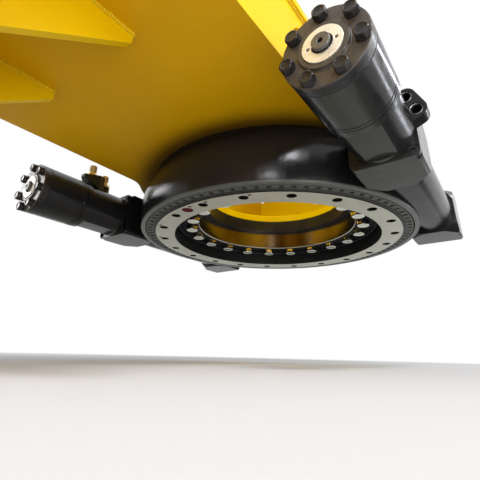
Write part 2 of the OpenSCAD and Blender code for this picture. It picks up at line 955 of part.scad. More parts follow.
arm_bottom_plate();
arm_pad_ring();
arm_top_plate();
arm_web_left();
arm_web_right();
arm_nose_plate();
arm_band_left();
arm_band_right();
arm_band_nose();
arm_end_flange();
gusset_left();
gusset_right();
slew_housing();
inner_ring();
inner_bolts();
inner_bolt_sleeves();
inner_seal();
worm_cover_left();
worm_cover_right();
output_ring();
rim_seal();
ball_plug();
for (s = SIDES) {
    motor_flange(s[1]);
    motor_body(s[1]);
    motor_plate(s[1]);
    motor_gears(s[1]);
    motor_cap(s[1]);
    motor_cap_bolts(s[1]);
    motor_disc(s[1]);
    motor_shaft(s[1]);
    motor_ports(s[1]);
    motor_screws(s[1]);
}
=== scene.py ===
import json
import math

import bmesh
import bpy
from mathutils import Matrix, Vector


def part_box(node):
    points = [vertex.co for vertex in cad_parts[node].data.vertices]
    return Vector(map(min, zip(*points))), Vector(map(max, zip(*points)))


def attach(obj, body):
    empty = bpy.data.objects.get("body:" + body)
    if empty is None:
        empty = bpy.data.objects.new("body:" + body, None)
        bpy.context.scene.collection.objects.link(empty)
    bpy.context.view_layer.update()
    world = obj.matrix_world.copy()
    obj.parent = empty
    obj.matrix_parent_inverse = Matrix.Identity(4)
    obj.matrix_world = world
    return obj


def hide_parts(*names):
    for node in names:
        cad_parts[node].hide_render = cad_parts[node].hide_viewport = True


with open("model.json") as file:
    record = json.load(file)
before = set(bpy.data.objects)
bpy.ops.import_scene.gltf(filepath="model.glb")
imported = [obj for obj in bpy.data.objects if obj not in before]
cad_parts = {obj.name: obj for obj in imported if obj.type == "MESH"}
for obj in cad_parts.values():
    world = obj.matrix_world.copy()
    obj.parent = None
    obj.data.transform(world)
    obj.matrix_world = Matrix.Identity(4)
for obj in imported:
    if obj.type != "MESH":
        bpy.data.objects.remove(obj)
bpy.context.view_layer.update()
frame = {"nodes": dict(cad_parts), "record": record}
print("frame loaded:", len(frame["nodes"]), "nodes")

# Driving dimensions in metres: X runs along the arm from its end flange, Y to the left motor, Z up

slewAxis = 0.850  # the steering axis, along the arm
faceZ = -0.180  # the output ring's machined face
wormY = 0.3719  # axis of a worm and its motor, to either side of the arm's middle
wormZ = -0.118
sideSign = {"left": 1, "right": -1}

# Camera

cameraSet = {
    "place": (0.0101, -0.4967, -0.4782),
    "heading": (0.8039, 0.5948, 0.0),  # level direction of the view
    "pitch": 21.33,
    "roll": 1.37,
    "lens": 27.13,
    "shiftX": -0.00104,
    "shiftY": -0.05521,
    "nearest": 0.01,
    "farthest": 200,
}


def placed(name, data):  # an object for a mesh, a lamp or a camera, linked to the scene
    made = bpy.data.objects.new(name, data)
    bpy.context.scene.collection.objects.link(made)
    return made


def makeCamera():
    data = bpy.data.cameras.new("camera")
    data.sensor_width = 36
    data.lens = cameraSet["lens"]
    data.shift_x = cameraSet["shiftX"]
    data.shift_y = cameraSet["shiftY"]
    data.clip_start = cameraSet["nearest"]
    data.clip_end = cameraSet["farthest"]
    level = Vector(cameraSet["heading"]).normalized()
    right = level.cross(Vector((0, 0, 1)))
    pitch = math.radians(cameraSet["pitch"])
    roll = math.radians(cameraSet["roll"])
    ahead = math.cos(pitch) * level + math.sin(pitch) * Vector((0, 0, 1))
    up = -math.sin(pitch) * level + math.cos(pitch) * Vector((0, 0, 1))
    across = math.cos(roll) * right + math.sin(roll) * up
    top = -math.sin(roll) * right + math.cos(roll) * up
    camera = placed("camera", data)
    camera.matrix_world = Matrix((across, top, -ahead)).transposed().to_4x4()
    camera.location = cameraSet["place"]
    bpy.context.scene.camera = camera


# Nodes, written as plain sums


class Wire:  # one output socket of a node
    def __init__(self, graph, socket):
        self.graph = graph
        self.socket = socket

    def out(self, name):
        return Wire(self.graph, self.socket.node.outputs[name])

    def math(self, operation, first, second=0.0):
        return self.graph.node("ShaderNodeMath", {"operation": operation}, {0: first, 1: second})

    def __add__(self, other):
        return self.math("ADD", self, other)

    def __sub__(self, other):
        return self.math("SUBTRACT", self, other)

    def __mul__(self, other):
        return self.math("MULTIPLY", self, other)

    def __pow__(self, other):
        return self.math("POWER", self, other)

    def __radd__(self, other):
        return self.math("ADD", other, self)

    def __rsub__(self, other):
        return self.math("SUBTRACT", other, self)

    def __rmul__(self, other):
        return self.math("MULTIPLY", other, self)

    def sine(self):
        return self.math("SINE", self)

    def cosine(self):
        return self.math("COSINE", self)

    def larger(self, other):
        return self.math("MAXIMUM", self, other)

    def ramp(self, low, high, start=0.0, end=1.0):  # eases from start to end between low and high
        sockets = {"Value": self, "From Min": low, "From Max": high, "To Min": start, "To Max": end}
        return self.graph.node("ShaderNodeMapRange", {"interpolation_type": "SMOOTHSTEP"}, sockets)


class Graph:  # a node tree of any kind, with one method that makes every node
    def __init__(self, tree):
        self.tree = tree
        tree.nodes.clear()

    def node(self, kind, settings=None, sockets=None, out=0):
        made = self.tree.nodes.new(kind)
        for name, value in (settings or {}).items():
            setattr(made, name, value)
        for key, value in (sockets or {}).items():
            if isinstance(value, Wire):
                self.tree.links.new(value.socket, made.inputs[key])
            else:
                made.inputs[key].default_value = value
        return Wire(self, made.outputs[out]) if made.outputs else made

    def mix(self, factor, first, second, blend="MIX"):  # blends two colours
        paired = [c if isinstance(c, Wire) else (*c, 1) for c in (first, second)]
        settings = {"data_type": "RGBA", "blend_type": blend}
        return self.node("ShaderNodeMix", settings, {0: factor, 6: paired[0], 7: paired[1]}, 2)

    def seen(self):  # 1 for rays that look at a thing, 0 for rays that only light it
        rays = self.node("ShaderNodeLightPath")
        looks = rays.out("Is Camera Ray").larger(rays.out("Is Glossy Ray"))
        return looks.larger(rays.out("Is Transmission Ray"))


class Paint(Graph):  # a material's tree, read in Object coordinates
    def __init__(self, name):
        self.material = bpy.data.materials.new(name)
        self.material.use_nodes = True
        super().__init__(self.material.node_tree)
        self.place = self.node("ShaderNodeTexCoord").out("Object")

    def noise(self, scale, detail=2.0, rough=0.5, vector=None):
        sockets = {"Vector": vector or self.place, "Scale": scale, "Detail": detail, "Roughness": rough}
        return self.node("ShaderNodeTexNoise", None, sockets)

    def parts(self, vector):
        split = self.node("ShaderNodeSeparateXYZ", None, {0: vector})
        return split.out("X"), split.out("Y"), split.out("Z")

    def fromAxis(self, along=slewAxis, height=0.0):  # X, Z and distance, seen from a point on an upright axis
        sockets = {0: self.place, 1: (along, 0.0, height)}
        x, y, z = self.parts(self.node("ShaderNodeVectorMath", {"operation": "SUBTRACT"}, sockets))
        return x, z, (x * x + y * y) ** 0.5

    def pack(self, x, y, z):
        return self.node("ShaderNodeCombineXYZ", None, {0: x, 1: y, 2: z})

    def bump(self, height, distance, strength=1.0, under=None):
        sockets = {"Height": height, "Distance": distance, "Strength": strength}
        if under:
            sockets["Normal"] = under
        return self.node("ShaderNodeBump", None, sockets)

    def done(self, sockets):
        shader = self.node("ShaderNodeBsdfPrincipled", None, sockets)
        self.node("ShaderNodeOutputMaterial", None, {"Surface": shader})
        return self.material


# Studio

studio = {
    "floorZ": -0.500,
    "floorHalf": 40.0,
    "floorColour": (0.74, 0.745, 0.75),
    "fadeCentre": 0.65,  # along the arm
    "fadeFrom": 1.3,  # distance from the centre at which the floor starts to blend into the backdrop
    "fadeTo": 3.2,
    "skyLevel": 0.42,
    "cardOutline": [(0.70, -0.72), (2.60, -2.05), (3.30, -1.15), (0.85, -0.50)],
    "cardLift": 0.001,
    # name, place, aims at, width, height, power, colour, whether gloss mirrors it
    "lamps": [
        ("overhead", (0.2, 0.7, 2.5), (0.55, 0.0, 0.0), 3.0, 2.4, 9, (1.0, 0.99, 0.97), True),
        ("windowLeft", (-0.3, 2.85, 0.75), (0.5, 0.1, -0.15), 1.4, 0.6, 16, (1.0, 0.97, 0.98), True),
        ("windowRight", (2.8, -2.2, 0.35), (0.4, -0.4, -0.12), 0.9, 0.22, 6, (0.84, 0.87, 1.0), True),
        ("roofRight", (2.6, -1.7, 1.45), (0.4, -0.4, -0.12), 1.0, 0.22, 8, (0.84, 0.87, 1.0), True),
        ("sideRight", (1.6, -2.8, 1.0), (0.4, -0.3, 0.0), 2.2, 1.4, 36, (1.0, 0.98, 0.94), True),
        ("skyBehind", (-1.0, -1.5, 1.55), (0.54, -0.2, -0.12), 0.7, 0.34, 40, (0.95, 0.96, 1.0), True),
        ("lowBehind", (-2.0, -1.75, 0.2), (0.53, -0.2, -0.15), 0.9, 0.28, 22, (0.96, 0.96, 1.0), True),
        ("lowSide", (-0.1, -1.55, -0.42), (0.15, -0.2, -0.1), 1.0, 0.25, 8, (1.0, 0.99, 0.95), True),
        ("insideArm", (0.56, 0.0, 0.03), (1.0, 0.03, 0.11), 0.30, 0.09, 1.4, (0.84, 1.0, 0.85), False),
        ("boreGlint", (0.56, -0.245, 0.04), (1.0, 0.0, 0.0), 0.022, 0.11, 0.025, (1.0, 0.92, 0.80), True),
    ],
}


def flatPanel(name, outline, height, material):  # one level face
    mesh = bpy.data.meshes.new(name)
    mesh.from_pydata([(x, y, height) for x, y in outline], [], [(0, 1, 2, 3)])
    mesh.materials.append(material)
    return placed(name, mesh)


def makeFloor():
    paint = Paint("paleFloor")
    away = paint.fromAxis(studio["fadeCentre"])[2]
    white = away.ramp(studio["fadeFrom"], studio["fadeTo"]) * paint.seen()
    grain = paint.noise(3.0, 3.0).ramp(0.3, 0.7, 0.98, 1.0)
    colour = paint.mix(1.0, studio["floorColour"], grain, "MULTIPLY")
    matt = paint.node("ShaderNodeBsdfDiffuse", None, {"Color": colour})
    glow = paint.node("ShaderNodeEmission", None, {"Color": (1, 1, 1, 1), "Strength": 1.0})
    both = paint.node("ShaderNodeMixShader", None, {0: white, 1: matt, 2: glow})
    paint.node("ShaderNodeOutputMaterial", None, {"Surface": both})
    half = studio["floorHalf"]
    outline = [(-half, -half), (half, -half), (half, half), (-half, half)]
    floor = flatPanel("floor", outline, studio["floorZ"], paint.material)


def makeCard():  # a dark strip on the floor, seen by gloss alone, gives the right motor its dark band
    paint = Paint("cardBlack")
    tone = paint.noise(6.0).ramp(0.3, 0.7, 0.010, 0.022)
    paint.done({"Base Color": paint.pack(tone, tone, tone), "Roughness": 0.9})
    height = studio["floorZ"] + studio["cardLift"]
    card = flatPanel("darkCard", studio["cardOutline"], height, paint.material)
    card.visible_camera = False
    card.visible_diffuse = False
    card.visible_shadow = False


def makeWorld():
    world = bpy.data.worlds.new("studio")
    bpy.context.scene.world = world
    world.use_nodes = True
    sky = Graph(world.node_tree)
    level = sky.seen() * (1.0 - studio["skyLevel"]) + studio["skyLevel"]
    light = sky.node("ShaderNodeBackground", None, {"Color": (1, 1, 1, 1), "Strength": level})
    sky.node("ShaderNodeOutputWorld", None, {"Surface": light})


def makeLamps():
    for name, place, aim, width, height, power, colour, mirrored in studio["lamps"]:
        data = bpy.data.lights.new(name, "AREA")
        data.shape = "RECTANGLE"
        data.size = width
        data.size_y = height
        data.energy = power
        data.color = colour
        lamp = placed(name, data)
        lamp.location = place
        lamp.visible_glossy = mirrored
        lamp.rotation_euler = (Vector(aim) - Vector(place)).to_track_quat("-Z", "Y").to_euler()


makeCamera()
makeFloor()
makeCard()
makeWorld()
makeLamps()
bpy.context.scene.view_settings.view_transform = "Standard"
print("camera and studio ready")

# Finishes

tints = {
    "yellow": (0.80, 0.515, 0.0),
    "yellowWorn": (0.73, 0.445, 0.0),
    "underside": (0.60, 0.325, 0.0),  # painted shade: darker, more orange paint on the plate's lower face, for the shade under the arm
    "undersideWorn": (0.53, 0.275, 0.0),
    # painted shade round the drive, on and below the plate's lower face
    "nearDriveShade": (0.040, 0.018, 0.003),
    "padBlack": (0.012, 0.009, 0.006),
    "black": (0.0120, 0.0118, 0.0125),
    "blackDust": (0.030, 0.028, 0.024),
    "filmAndSheen": (0.046, 0.052, 0.041),  # painted reflection: the grey-green sheen of the floor on the castings' lowest faces
    "rimGrey": (0.075, 0.080, 0.070),
    "faceSteel": (0.54, 0.54, 0.45),
    "faceShade": (0.41, 0.405, 0.32),
    "ringBlack": (0.0080, 0.0085, 0.0080),
    # the bore's steel, and the dark of its painted vertical reflection bands
    "boreSteel": (0.24, 0.205, 0.150),
    "boreDark": (0.11, 0.090, 0.062),
    "yellowZinc": (0.66, 0.52, 0.27),
    "discSteel": (0.84, 0.80, 0.70),
    "discSpeck": (0.30, 0.20, 0.12),
    "capBrown": (0.066, 0.053, 0.042),
    # painted light: the inner bolt heads' lower faces are paler than their sides
    "litBoltFace": (0.95, 0.98, 0.86),
    "boltSide": (0.60, 0.58, 0.50),
    "boltBlack": (0.030, 0.028, 0.027),
    "boltShade": (0.012, 0.011, 0.011),
    "lipMetal": (0.45, 0.45, 0.46),
    "lipShade": (0.20, 0.20, 0.20),
    "darkSteel": (0.16, 0.155, 0.150),
    "rustyPins": (0.14, 0.062, 0.025),
    "sealRubber": (0.010, 0.010, 0.011),
    "redPlug": (0.10, 0.006, 0.008),
}


def shadeOf(tint, share):
    return tuple(share * c for c in tints[tint])


yellowZones = {  # distances from the steering axis, and heights above the plate's lower face
    "drive": (0.300, 0.304),  # the drive's pad ring reaches down from the plate outside this
    "padOuter": (0.347, 0.3475),
    # the painted shade round the drive: where it fades out, how steeply, how dark it gets and how high it
    # reaches
    "shadeFades": (0.348, 0.44),
    "shadePower": 2.2,
    "shadeShare": 0.88,
    "faceLow": (-0.0002, 0.0),
    "faceHigh": (0.0003, 0.0005),
    "shadeTop": (0.0005, 0.0025),
}


def paintYellow():  # painted shade: dark brown round the drive, on and below the plate's lower face, which is also darker and more orange; the pad's outside is black paint
    paint = Paint("yellowPaint")
    zones = yellowZones
    z, away = paint.fromAxis(height=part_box("arm_bottom_plate")[0][2])[1:]
    below = 1.0 - z.ramp(*zones["shadeTop"])
    # painted shade: darkest next to the drive, fading outwards, only on and below the plate's lower face
    near = away.ramp(*zones["shadeFades"], 1.0, 0.0) ** zones["shadePower"]
    outside = away.ramp(*zones["drive"])
    padOutside = outside * away.ramp(*zones["padOuter"], 1.0, 0.0) * z.ramp(*zones["faceLow"], 1.0, 0.0)
    paintedShade = near * below * outside * zones["shadeShare"]
    # painted shade: this mask picks the plate's lower face, which gets the darker, more orange paint
    lower = z.ramp(*zones["faceLow"]) * z.ramp(*zones["faceHigh"], 1.0, 0.0)
    broad = paint.noise(5.0, 3.0).ramp(0.35, 0.75)
    smudge = paint.noise(26.0, 4.0, 0.6).ramp(0.58, 0.80) * 0.35
    wear = broad * 0.5 + smudge
    plainCoat = paint.mix(wear, tints["yellow"], tints["yellowWorn"])
    shadedBelowCoat = paint.mix(wear, tints["underside"], tints["undersideWorn"])
    coat = paint.mix(paintedShade, paint.mix(lower, plainCoat, shadedBelowCoat), tints["nearDriveShade"])
    colour = paint.mix(padOutside, coat, tints["padBlack"])
    peel = paint.noise(650.0, 1.0)
    rolled = paint.noise(38.0, 2.0)
    bumps = paint.bump(rolled, 0.0010, 0.22, paint.bump(peel, 0.00014, 0.5))
    rough = paint.noise(60.0, 3.0).ramp(0.2, 0.8, 0.36, 0.50)
    return paint.done({"Base Color": colour, "Roughness": rough, "Normal": bumps, "Specular IOR Level": 0.14})


blackZones = {  # distances from the steering axis, heights, and places along the arm from that axis
    "lipInner": (0.3545, 0.3555),
    "lipOuter": (0.3700, 0.3712),
    "lipTop": (-0.1735, -0.1715),
    "pan": (0.3712, 0.3725),  # the painted floor sheen keeps off the pan inside this
    "lowest": (-0.1762, -0.1745),
    "bellyTop": (-0.1785, -0.1620),
    "bellyEnd": (-0.270, -0.262),
    "flatLow": (-0.1683, -0.1681),
    "flatHigh": (-0.1679, -0.1677),
    "flatFrom": (-0.378, -0.374),
    "flatTo": (-0.284, -0.280),
    # shares of the painted floor sheen on the bellies and lowest faces, and of the dust
    "bellyShare": 0.75,
    "floorSheenShare": 0.62,
    "dustShare": 0.30,
}


def paintBlack(name, castDepth, rough):  # glossy black on castings, smoother on turned pieces
    paint = Paint(name)
    zones = blackZones
    x, z, away = paint.fromAxis()
    lip = away.ramp(*zones["lipInner"]) * away.ramp(*zones["lipOuter"], 1.0, 0.0)
    belly = z.ramp(*zones["bellyTop"], zones["bellyShare"], 0.0) * x.ramp(*zones["bellyEnd"], 1.0, 0.0)
    flatBand = z.ramp(*zones["flatLow"]) * z.ramp(*zones["flatHigh"], 1.0, 0.0)
    flat = flatBand * x.ramp(*zones["flatFrom"]) * x.ramp(*zones["flatTo"], 1.0, 0.0)
    # painted reflection: the lowest faces, the motors' bellies and the flat on each motor body get a
    # grey-green sheen of the floor below
    lowest = z.ramp(*zones["lowest"], 1.0, 0.0).larger(belly).larger(flat)
    dust = paint.noise(14.0, 4.0, 0.6).ramp(0.55, 0.90) * zones["dustShare"]
    base = paint.mix(dust, tints["black"], tints["blackDust"])
    withFloorSheen = paint.mix(lowest * away.ramp(*zones["pan"]) * zones["floorSheenShare"], base, tints["filmAndSheen"])
    colour = paint.mix(lip * z.ramp(*zones["lipTop"], 1.0, 0.0), withFloorSheen, tints["rimGrey"])
    cast = paint.noise(230.0, 3.0, 0.6)
    stipple = paint.noise(900.0, 2.0, 0.6)
    swell = paint.noise(30.0, 2.0)
    fine = paint.bump(stipple, 0.00022, castDepth, paint.bump(cast, 0.0006, castDepth))
    bumps = paint.bump(swell, 0.0016, castDepth * 0.5, fine)
    gloss = paint.noise(45.0, 3.0).ramp(0.25, 0.80, rough - 0.05, rough + 0.10)
    return paint.done({"Base Color": colour, "Roughness": gloss, "Normal": bumps, "Specular IOR Level": 0.26})


ringZones = {
    "face": (0.0004, 0.0008),  # heights above the output ring's face
    # heights of the bolt heads' lower faces, which are painted paler
    "litBoltFace": (0.0258, 0.0264),
    "rim": (0.3294, 0.3300),  # distances from the steering axis
    "bevel": (0.2151, 0.2153),
    "painted": (0.2170, 0.2173),
}


def paintOutputRing():  # turned steel face, painted toothed rim outside, black bore inside
    paint = Paint("outputRing")
    z, away = paint.fromAxis(height=faceZ)[1:]
    face = 1.0 - z.ramp(*ringZones["face"])
    rim = away.ramp(*ringZones["rim"])
    turned = paint.noise(1.0, 2.0, 0.6, paint.pack(away * 2600.0, 0.0, z * 2600.0))
    stainAndSheen = paint.noise(11.0, 4.0, 0.6).ramp(0.42, 0.78)
    steel = paint.mix(stainAndSheen * 0.55, tints["faceSteel"], tints["faceShade"])
    grime = paint.noise(90.0, 4.0, 0.65).ramp(0.52, 0.80)
    grey = paint.mix(grime * 0.5, tints["rimGrey"], shadeOf("rimGrey", 0.55))
    coated = paint.mix(rim, tints["ringBlack"], grey)
    colour = paint.mix(face, coated, steel)
    rough = face * turned.ramp(0.2, 0.8, 0.30, 0.44) + (1.0 - face) * 0.46
    bumps = paint.bump(turned, 0.00012, 0.35, paint.bump(paint.noise(420.0, 2.0), 0.0002, 0.3))
    sockets = {"Base Color": colour, "Roughness": rough, "Metallic": face * 0.90, "Normal": bumps,
               "Specular IOR Level": 0.16}
    return paint.done(sockets)


def paintBore():  # oiled bearing steel in the bore, with painted reflection in vertical light and dark bands; black paint on the lower face, a bright bevel between
    paint = Paint("boreSteel")
    z, away = paint.fromAxis(height=faceZ)[1:]
    painted = away.ramp(*ringZones["painted"])
    bevel = away.ramp(*ringZones["bevel"]) * (1.0 - painted)
    turned = paint.noise(1.0, 3.0, 0.6, paint.pack(away * 1500.0, 0.0, z * 1500.0))
    # painted reflection: noise stretched upright gives the bore's wall light and dark vertical bands, for the
    # soft reflections that run up it
    streaked = paint.node("ShaderNodeMapping", None, {"Vector": paint.place, "Scale": (1.0, 1.0, 0.10)})
    stainAndSheen = paint.noise(16.0, 3.0, 0.6, streaked)
    sheenBandedSteel = paint.mix(stainAndSheen.ramp(0.35, 0.75), tints["boreSteel"], tints["boreDark"])
    steel = paint.mix(bevel, sheenBandedSteel, tints["faceSteel"])
    colour = paint.mix(painted, steel, tints["ringBlack"])
    rough = turned.ramp(0.2, 0.8, 0.20, 0.26).larger(painted * 0.50)
    bumps = paint.bump(turned, 0.00008, 0.2)
    sockets = {"Base Color": colour, "Roughness": rough, "Metallic": 1.0 - painted, "Normal": bumps,
               "Specular IOR Level": 0.16}
    return paint.done(sockets)


def paintMetal(name, tint, shade, rough, metallic=1.0, fine=500.0, depth=0.00015, gloss=0.5):
    paint = Paint(name)
    stainAndSheen = paint.noise(60.0, 4.0, 0.6).ramp(0.40, 0.80)
    tone = paint.mix(stainAndSheen, tint, shade)
    grain = paint.noise(fine, 2.0)
    vary = paint.noise(130.0, 3.0).ramp(0.2, 0.8, rough - 0.05, rough + 0.10)
    bumps = paint.bump(grain, depth, 0.5)
    sockets = {"Base Color": tone, "Roughness": vary, "Metallic": metallic, "Normal": bumps,
               "Specular IOR Level": gloss}
    return paint.done(sockets)


def paintStained(tint, share, rough, **others):  # a metal whose stains are a share of its own tint
    return paintMetal(tint, tints[tint], shadeOf(tint, share), rough, **others)


capEdge = (0.3452, 0.3475)  # where, along the arm, a motor cap's face gives way to its rim


def paintCap():  # brown-grey film on the motor cap's face, black paint round its rim
    paint = Paint("capPaint")
    rim = paint.parts(paint.place)[0].ramp(*capEdge)
    stainAndSheen = paint.noise(60.0, 4.0, 0.6).ramp(0.40, 0.80)
    filmAndSheen = paint.mix(stainAndSheen * 0.5, tints["capBrown"], shadeOf("capBrown", 0.5))
    colour = paint.mix(rim, filmAndSheen, tints["black"])
    rough = paint.noise(130.0, 3.0).ramp(0.2, 0.8, 0.24, 0.38)
    bumps = paint.bump(paint.noise(260.0, 3.0), 0.0004, 0.4)
    return paint.done({"Base Color": colour, "Roughness": rough, "Normal": bumps, "Specular IOR Level": 0.35})


def paintInnerBolts():  # painted light: the heads' lower faces, which catch the light from below, are painted paler than the sides and are duller; the rest is bright zinc
    paint = Paint("boltZinc")
    low, high = ringZones["litBoltFace"]
    face = paint.parts(paint.place)[2].ramp(faceZ + low, faceZ + high, 1.0, 0.0)
    stainAndSheen = paint.noise(60.0, 3.0).ramp(0.40, 0.80)
    side = paint.mix(stainAndSheen, tints["boltSide"], shadeOf("boltSide", 0.6))
    colour = paint.mix(face, side, tints["litBoltFace"])
    return paint.done({"Base Color": colour, "Roughness": face * 0.26 + 0.16, "Metallic": 1.0 - face * 0.35})


def paintDisc():  # pale machined disc with brown specks of rust
    paint = Paint("discSteel")
    specks = paint.noise(420.0, 2.0, 0.7).ramp(0.60, 0.68) * paint.noise(70.0, 2.0).ramp(0.40, 0.62)
    cloud = paint.noise(55.0, 3.0).ramp(0.35, 0.80)
    pale = paint.mix(cloud * 0.5, tints["discSteel"], shadeOf("discSteel", 0.80))
    colour = paint.mix(specks * 0.75, pale, tints["discSpeck"])
    rough = paint.noise(160.0, 3.0).ramp(0.2, 0.8, 0.34, 0.52)
    bumps = paint.bump(paint.noise(700.0, 2.0), 0.00015, 0.5)
    return paint.done({"Base Color": colour, "Roughness": rough, "Metallic": 0.7, "Normal": bumps})


def paintWeld():  # yellow paint over a weld's ripples, which cross the bead whichever way it runs
    paint = Paint("weldPaint")
    x, y, z = paint.parts(paint.place)
    wobble = paint.noise(90.0, 2.0) * 2.2
    ripple = ((x + y + z) * 1500.0 + wobble).sine()
    tone = paint.mix(paint.noise(40.0, 3.0).ramp(0.35, 0.75), tints["yellow"], tints["yellowWorn"])
    bumps = paint.bump(ripple, 0.0009, 0.8)
    return paint.done({"Base Color": tone, "Roughness": 0.42, "Normal": bumps, "Specular IOR Level": 0.3})


finishes = {
    "yellow_paint": paintYellow(),
    "black_paint": paintBlack("castBlackPaint", 0.50, 0.09),
    "smooth_black": paintBlack("smoothBlackPaint", 0.10, 0.15),
    "machined_steel": paintOutputRing(),
    "bore_steel": paintBore(),
    "disc_steel": paintDisc(),
    "cap_brown": paintCap(),
    "yellow_zinc": paintStained("yellowZinc", 0.72, 0.30),
    "dark_steel": paintStained("darkSteel", 0.65, 0.38, metallic=0.9),
    "seal_rubber": paintStained("sealRubber", 2.0, 0.50, metallic=0.0, fine=900.0, depth=0.0001),
    "red_plug": paintStained("redPlug", 0.25, 0.45, metallic=0.0, gloss=0.03),
    "rust": paintStained("rustyPins", 0.5, 0.60, metallic=0.3),
    "weld": paintWeld(),
    "bolt_zinc": paintInnerBolts(),
    "bolt_black": paintMetal("boltBlack", tints["boltBlack"], tints["boltShade"], 0.24, metallic=0.35,
                             fine=300.0, depth=0.0003, gloss=0.3),
    "lip_metal": paintMetal("lipMetal", tints["lipMetal"], tints["lipShade"], 0.25, metallic=0.9),
}
print("finishes ready:", len(finishes))

# Softened copies of the construction's pieces

softWidths = {  # metres of rounding along the sharp edges
    "arm_bottom_plate": 0.0010, "arm_pad_ring": 0.0008, "arm_top_plate": 0.0010,
    "arm_web_left": 0.0010, "arm_web_right": 0.0010, "arm_nose_plate": 0.0010,
    "arm_band_left": 0.0008, "arm_band_right": 0.0008, "arm_band_nose": 0.0008,
    "arm_end_flange": 0.0014, "gusset_left": 0.0010, "gusset_right": 0.0010,
    "slew_housing": 0.0025, "inner_ring": 0.0008, "inner_seal": 0.0006,
    "worm_cover_left": 0.0015, "worm_cover_right": 0.0015,
    "output_ring": 0.0005, "rim_seal": 0.0008, "ball_plug": 0.0010,
    "motor_flange": 0.0020, "motor_body": 0.0020, "motor_plate": 0.0008, "motor_gears": 0.0010,
    "motor_cap": 0.0030, "motor_disc": 0.0005, "motor_shaft": 0.0008, "motor_ports": 0.0015,
    "motor_screws": 0.0006, "inner_bolt_sleeves": 0.0006,
}
motorFinishes = {  # where a motor's piece doesn't have the finish that its slot names
    "motor_cap": "cap_brown",
    "motor_screws": "bolt_black",
    "motor_plate": "smooth_black",
    "motor_gears": "smooth_black",
    "motor_disc": "disc_steel",
}
sameCorner = 1e-6  # corners nearer than this are one
sameFace = 0.6  # degrees between faces that count as one
sharpCast = 32  # degrees above which an edge of a softened copy is rounded
sharpTurned = 22  # the same for bolts


def bodyOf(node):
    bodies = frame["record"]["behaviour"]["bodies"]
    return next(body for body, members in bodies.items() if node in members)


def slotOf(node):
    return next(row["material_slot"] for row in frame["record"]["subparts"] if row["node"] == node)


def kindOf(node):  # a motor piece's name without its side
    return node.rsplit("_", 1)[0] if node.startswith("motor_") else node


def addPiece(name, mesh, body, slot, material, *nodes):
    mesh.materials.clear()
    mesh.materials.append(material)
    piece = placed(name, mesh)
    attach(piece, body)
    if nodes:
        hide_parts(*nodes)


def meshFromModifiers(piece):  # a plain mesh with the modifiers' result, which are then taken off
    bpy.context.view_layer.update()
    graph = bpy.context.evaluated_depsgraph_get()
    mesh = bpy.data.meshes.new_from_object(piece.evaluated_get(graph), depsgraph=graph)
    piece.modifiers.clear()
    bpy.data.objects.remove(piece)
    return mesh


def rounded(mesh, width, sharp, weighted=False):  # a bevel along the sharp edges, made plain at once
    draft = placed("draft", mesh)
    bevel = draft.modifiers.new("edges", "BEVEL")
    bevel.width = width
    bevel.segments = 2
    bevel.limit_method = "ANGLE"
    bevel.angle_limit = math.radians(sharp)
    if weighted:
        weigh = draft.modifiers.new("normals", "WEIGHTED_NORMAL")
        weigh.keep_sharp = True
    return meshFromModifiers(draft)


def softCopy(node, width):
    shape = bmesh.new()
    shape.from_mesh(frame["nodes"][node].data)
    bmesh.ops.remove_doubles(shape, verts=shape.verts, dist=sameCorner)
    bmesh.ops.dissolve_limit(shape, angle_limit=math.radians(sameFace), verts=shape.verts, edges=shape.edges)
    mesh = bpy.data.meshes.new(node + "_soft")
    shape.to_mesh(mesh)
    shape.free()
    mesh.shade_smooth()
    soft = rounded(mesh, width, sharpCast, True)
    finish = finishes[motorFinishes.get(kindOf(node)) or slotOf(node)]
    addPiece(node + "_finish", soft, bodyOf(node), slotOf(node), finish, node)


for node in sorted(frame["nodes"]):
    width = softWidths.get(kindOf(node))
    if width:
        softCopy(node, width)
print("softened pieces ready")

# Turned pieces: a stack of rings, each a radius and a height, round or on a hexagon

hexShape = {  # the widths are shares of half the width across flats
    "crown": 0.94,  # flat top inside the chamfer
    "chamfer": 30,  # degrees
    "washer": 1.12,
    "dishEdge": 0.80,
    "dishFloor": 0.74,
}


def hexRadius(angle, flat):  # from the axis to a hexagon's side
    return flat / math.cos((angle + math.pi / 6) % (math.pi / 3) - math.pi / 6)


def turnedMesh(name, rings, steps=36):  # a ring's radius and height may be functions of the angle
    corners = []
    faces = []
    for radius, height in rings:
        for step in range(steps):
            angle = 2 * math.pi * step / steps
            r = radius(angle) if callable(radius) else radius
            z = height(angle) if callable(height) else height
            corners.append((r * math.cos(angle), r * math.sin(angle), z))
    for level in range(len(rings) - 1):
        for step in range(steps):
            after = (step + 1) % steps
            low = level * steps
            faces.append((low + step, low + after, low + steps + after, low + steps + step))
    mesh = bpy.data.meshes.new(name)
    mesh.from_pydata(corners, [], faces)
    shape = bmesh.new()
    shape.from_mesh(mesh)
    bmesh.ops.remove_doubles(shape, verts=shape.verts, dist=sameCorner)
    bmesh.ops.recalc_face_normals(shape, faces=shape.faces)
    shape.to_mesh(mesh)
    shape.free()
    return mesh


def hexRings(across, base, top):  # a hexagon from base to top, with its upper corners chamfered by a cone
    flat = across / 2
    crown = hexShape["crown"] * flat
    slope = math.tan(math.radians(hexShape["chamfer"]))

    def side(angle):
        return hexRadius(angle, flat)

    def edge(angle):
        return top - (hexRadius(angle, flat) - crown) * slope

    return [(side, base), (side, edge), (crown, top)]


